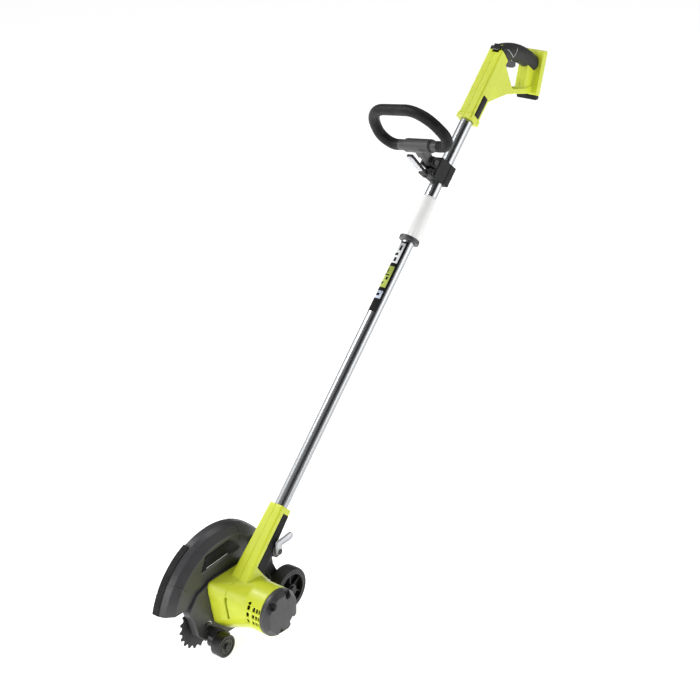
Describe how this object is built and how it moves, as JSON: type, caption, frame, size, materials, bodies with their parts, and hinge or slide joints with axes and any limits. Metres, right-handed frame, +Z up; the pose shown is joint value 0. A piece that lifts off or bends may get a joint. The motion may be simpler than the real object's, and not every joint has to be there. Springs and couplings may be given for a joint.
{
  "type": "lawn edger",
  "caption": "Battery lawn edger with a toothed blade in a side guard, guide wheels, split shaft, sliding loop handle and trigger handle.",
  "frame": {"origin": "middle of the soft rear grip, where the hand holds the tool up", "axes": "-Y forward, towards the blade; +Z up, with the tool in its working lean; +X to the user's left; the blade is on the -X side"},
  "size_m": [0.2448, 1.1935, 1.0836],
  "materials": {
    "lime_shell": "satin moulded lime green plastic",
    "dark_shell": "moulded dark grey plastic with a fine grain",
    "black_plastic": "black moulded plastic",
    "gloss_black": "glossy black plastic",
    "white_plastic": "white moulded plastic",
    "pale_lever": "pale translucent plastic",
    "tube_steel": "bright drawn aluminium tube",
    "bright_steel": "machined steel",
    "blade_steel": "dark hardened steel",
    "dark_steel": "blackened steel",
    "zinc": "zinc plated fasteners",
    "alloy": "die-cast alloy",
    "magnet": "sintered ferrite",
    "core": "laminated iron core with windings",
    "copper": "copper segments",
    "board": "brown phenolic board",
    "wheel_tyre": "black rubber tread",
    "foam": "black foam rubber",
    "soft_grip": "dark grey soft overmould",
    "belt_rubber": "ribbed rubber belt",
    "cable_skin": "black cable sheath",
    "plate_film": "glossy black printed plate"
  },
  "bodies": {
    "frame": {"housing_left": "lime_shell", "housing_right": "lime_shell", "shell_screws": "dark_steel", "motor_end_cap": "dark_shell", "end_cap_screws": "dark_steel", "motor_front_plate": "alloy", "motor_rear_plate": "black_plastic", "motor_can": "dark_steel", "motor_magnets": "magnet", "brush_card": "board", "motor_bearings": "bright_steel", "drive_belt": "belt_rubber", "drive_case": "dark_shell", "case_screws": "dark_steel", "spindle_bearings": "bright_steel", "guard_shell": "dark_shell", "guard_flap": "black_plastic", "guard_plate": "plate_film", "front_bracket": "black_plastic", "front_axle": "dark_steel", "depth_bracket": "dark_shell", "boom_plate": "plate_film", "lower_tube": "tube_steel", "coupler_ring": "dark_shell", "coupler_spigot": "bright_steel", "upper_tube": "tube_steel", "rear_shell_left": "lime_shell", "rear_shell_right": "lime_shell", "power_cable": "cable_skin", "grip_sleeve": "soft_grip", "rear_foot": "foam", "power_switch": "black_plastic", "battery_terminals": "black_plastic"},
    "rotor": {"motor_shaft": "bright_steel", "armature_core": "core", "commutator": "copper", "cooling_fan": "black_plastic", "motor_pulley": "alloy"},
    "cutter": {"blade_spindle": "dark_steel", "blade_pulley": "alloy", "blade": "blade_steel", "blade_flanges": "bright_steel", "blade_nut": "zinc"},
    "front_roller": {"front_wheel": "black_plastic"},
    "depth_carrier": {"depth_shaft": "bright_steel", "depth_lever": "pale_lever", "depth_arm": "black_plastic", "rear_axle": "dark_steel"},
    "rear_roller": {"rear_wheel_hub": "black_plastic", "rear_wheel_tyre": "wheel_tyre"},
    "coupler": {"coupler_sleeve": "white_plastic"},
    "clamp": {"clamp_front": "dark_shell", "clamp_rear": "dark_shell", "clamp_bolts": "dark_steel"},
    "clamp_cam": {"clamp_lever": "black_plastic"},
    "loop_handle": {"handle_stem": "dark_shell", "loop_tube": "bright_steel", "loop_foam": "foam"},
    "trigger_body": {"trigger": "dark_shell"},
    "lock_off": {"lock_off_button": "gloss_black"}
  },
  "joints": [
    {"name": "motor_spin", "type": "hinge", "parent": "frame", "child": "rotor", "pos_m": [0, -0.926, -0.943], "axis": [1, 0, 0], "continuous": true},
    {"name": "blade_spin", "type": "hinge", "parent": "frame", "child": "cutter", "pos_m": [-0.06, -0.998, -0.9905], "axis": [1, 0, 0], "continuous": true},
    {"name": "front_wheel_spin", "type": "hinge", "parent": "frame", "child": "front_roller", "pos_m": [-0.006, -0.9906, -1.0247], "axis": [1, 0, 0], "continuous": true},
    {"name": "depth_adjust", "type": "hinge", "parent": "frame", "child": "depth_carrier", "pos_m": [0, -0.85, -0.862], "axis": [1, 0, 0], "range_deg": [0, 24]},
    {"name": "rear_wheel_spin", "type": "hinge", "parent": "depth_carrier", "child": "rear_roller", "pos_m": [-0.02, -0.778, -1.0006], "axis": [1, 0, 0], "continuous": true},
    {"name": "coupler_twist", "type": "hinge", "parent": "frame", "child": "coupler", "pos_m": [0, -0.35005, -0.28987], "axis": [0, 0.6858, 0.7278], "range_deg": [0, 45]},
    {"name": "handle_slide", "type": "slide", "parent": "frame", "child": "clamp", "axis": [0, 0.6858, 0.7278], "range_m": [-0.03, 0.1]},
    {"name": "handle_tilt", "type": "hinge", "parent": "clamp", "child": "loop_handle", "pos_m": [-0.01066, -0.3028, -0.1805], "axis": [0.9673, -0.1847, 0.174], "range_deg": [-45, 12]},
    {"name": "cam_open", "type": "hinge", "parent": "clamp", "child": "clamp_cam", "pos_m": [-0.00964, -0.31576, -0.19989], "axis": [0.9673, -0.1847, 0.174], "range_deg": [0, 70]},
    {"name": "trigger_pull", "type": "hinge", "parent": "frame", "child": "trigger_body", "pos_m": [0, -0.049, -0.002], "axis": [1, 0, 0], "range_deg": [0, 12], "stiffness_Nm_per_rad": 0.4, "springref_deg": -14.32},
    {"name": "lock_off_press", "type": "slide", "parent": "frame", "child": "lock_off", "axis": [0, -0.6858, -0.7278], "range_m": [0, 0.003], "stiffness_N_per_m": 300, "springref_m": -0.003}
  ],
  "couplings": [
    {"joint": "blade_spin", "follows": "motor_spin", "ratio": 0.65}
  ]
}
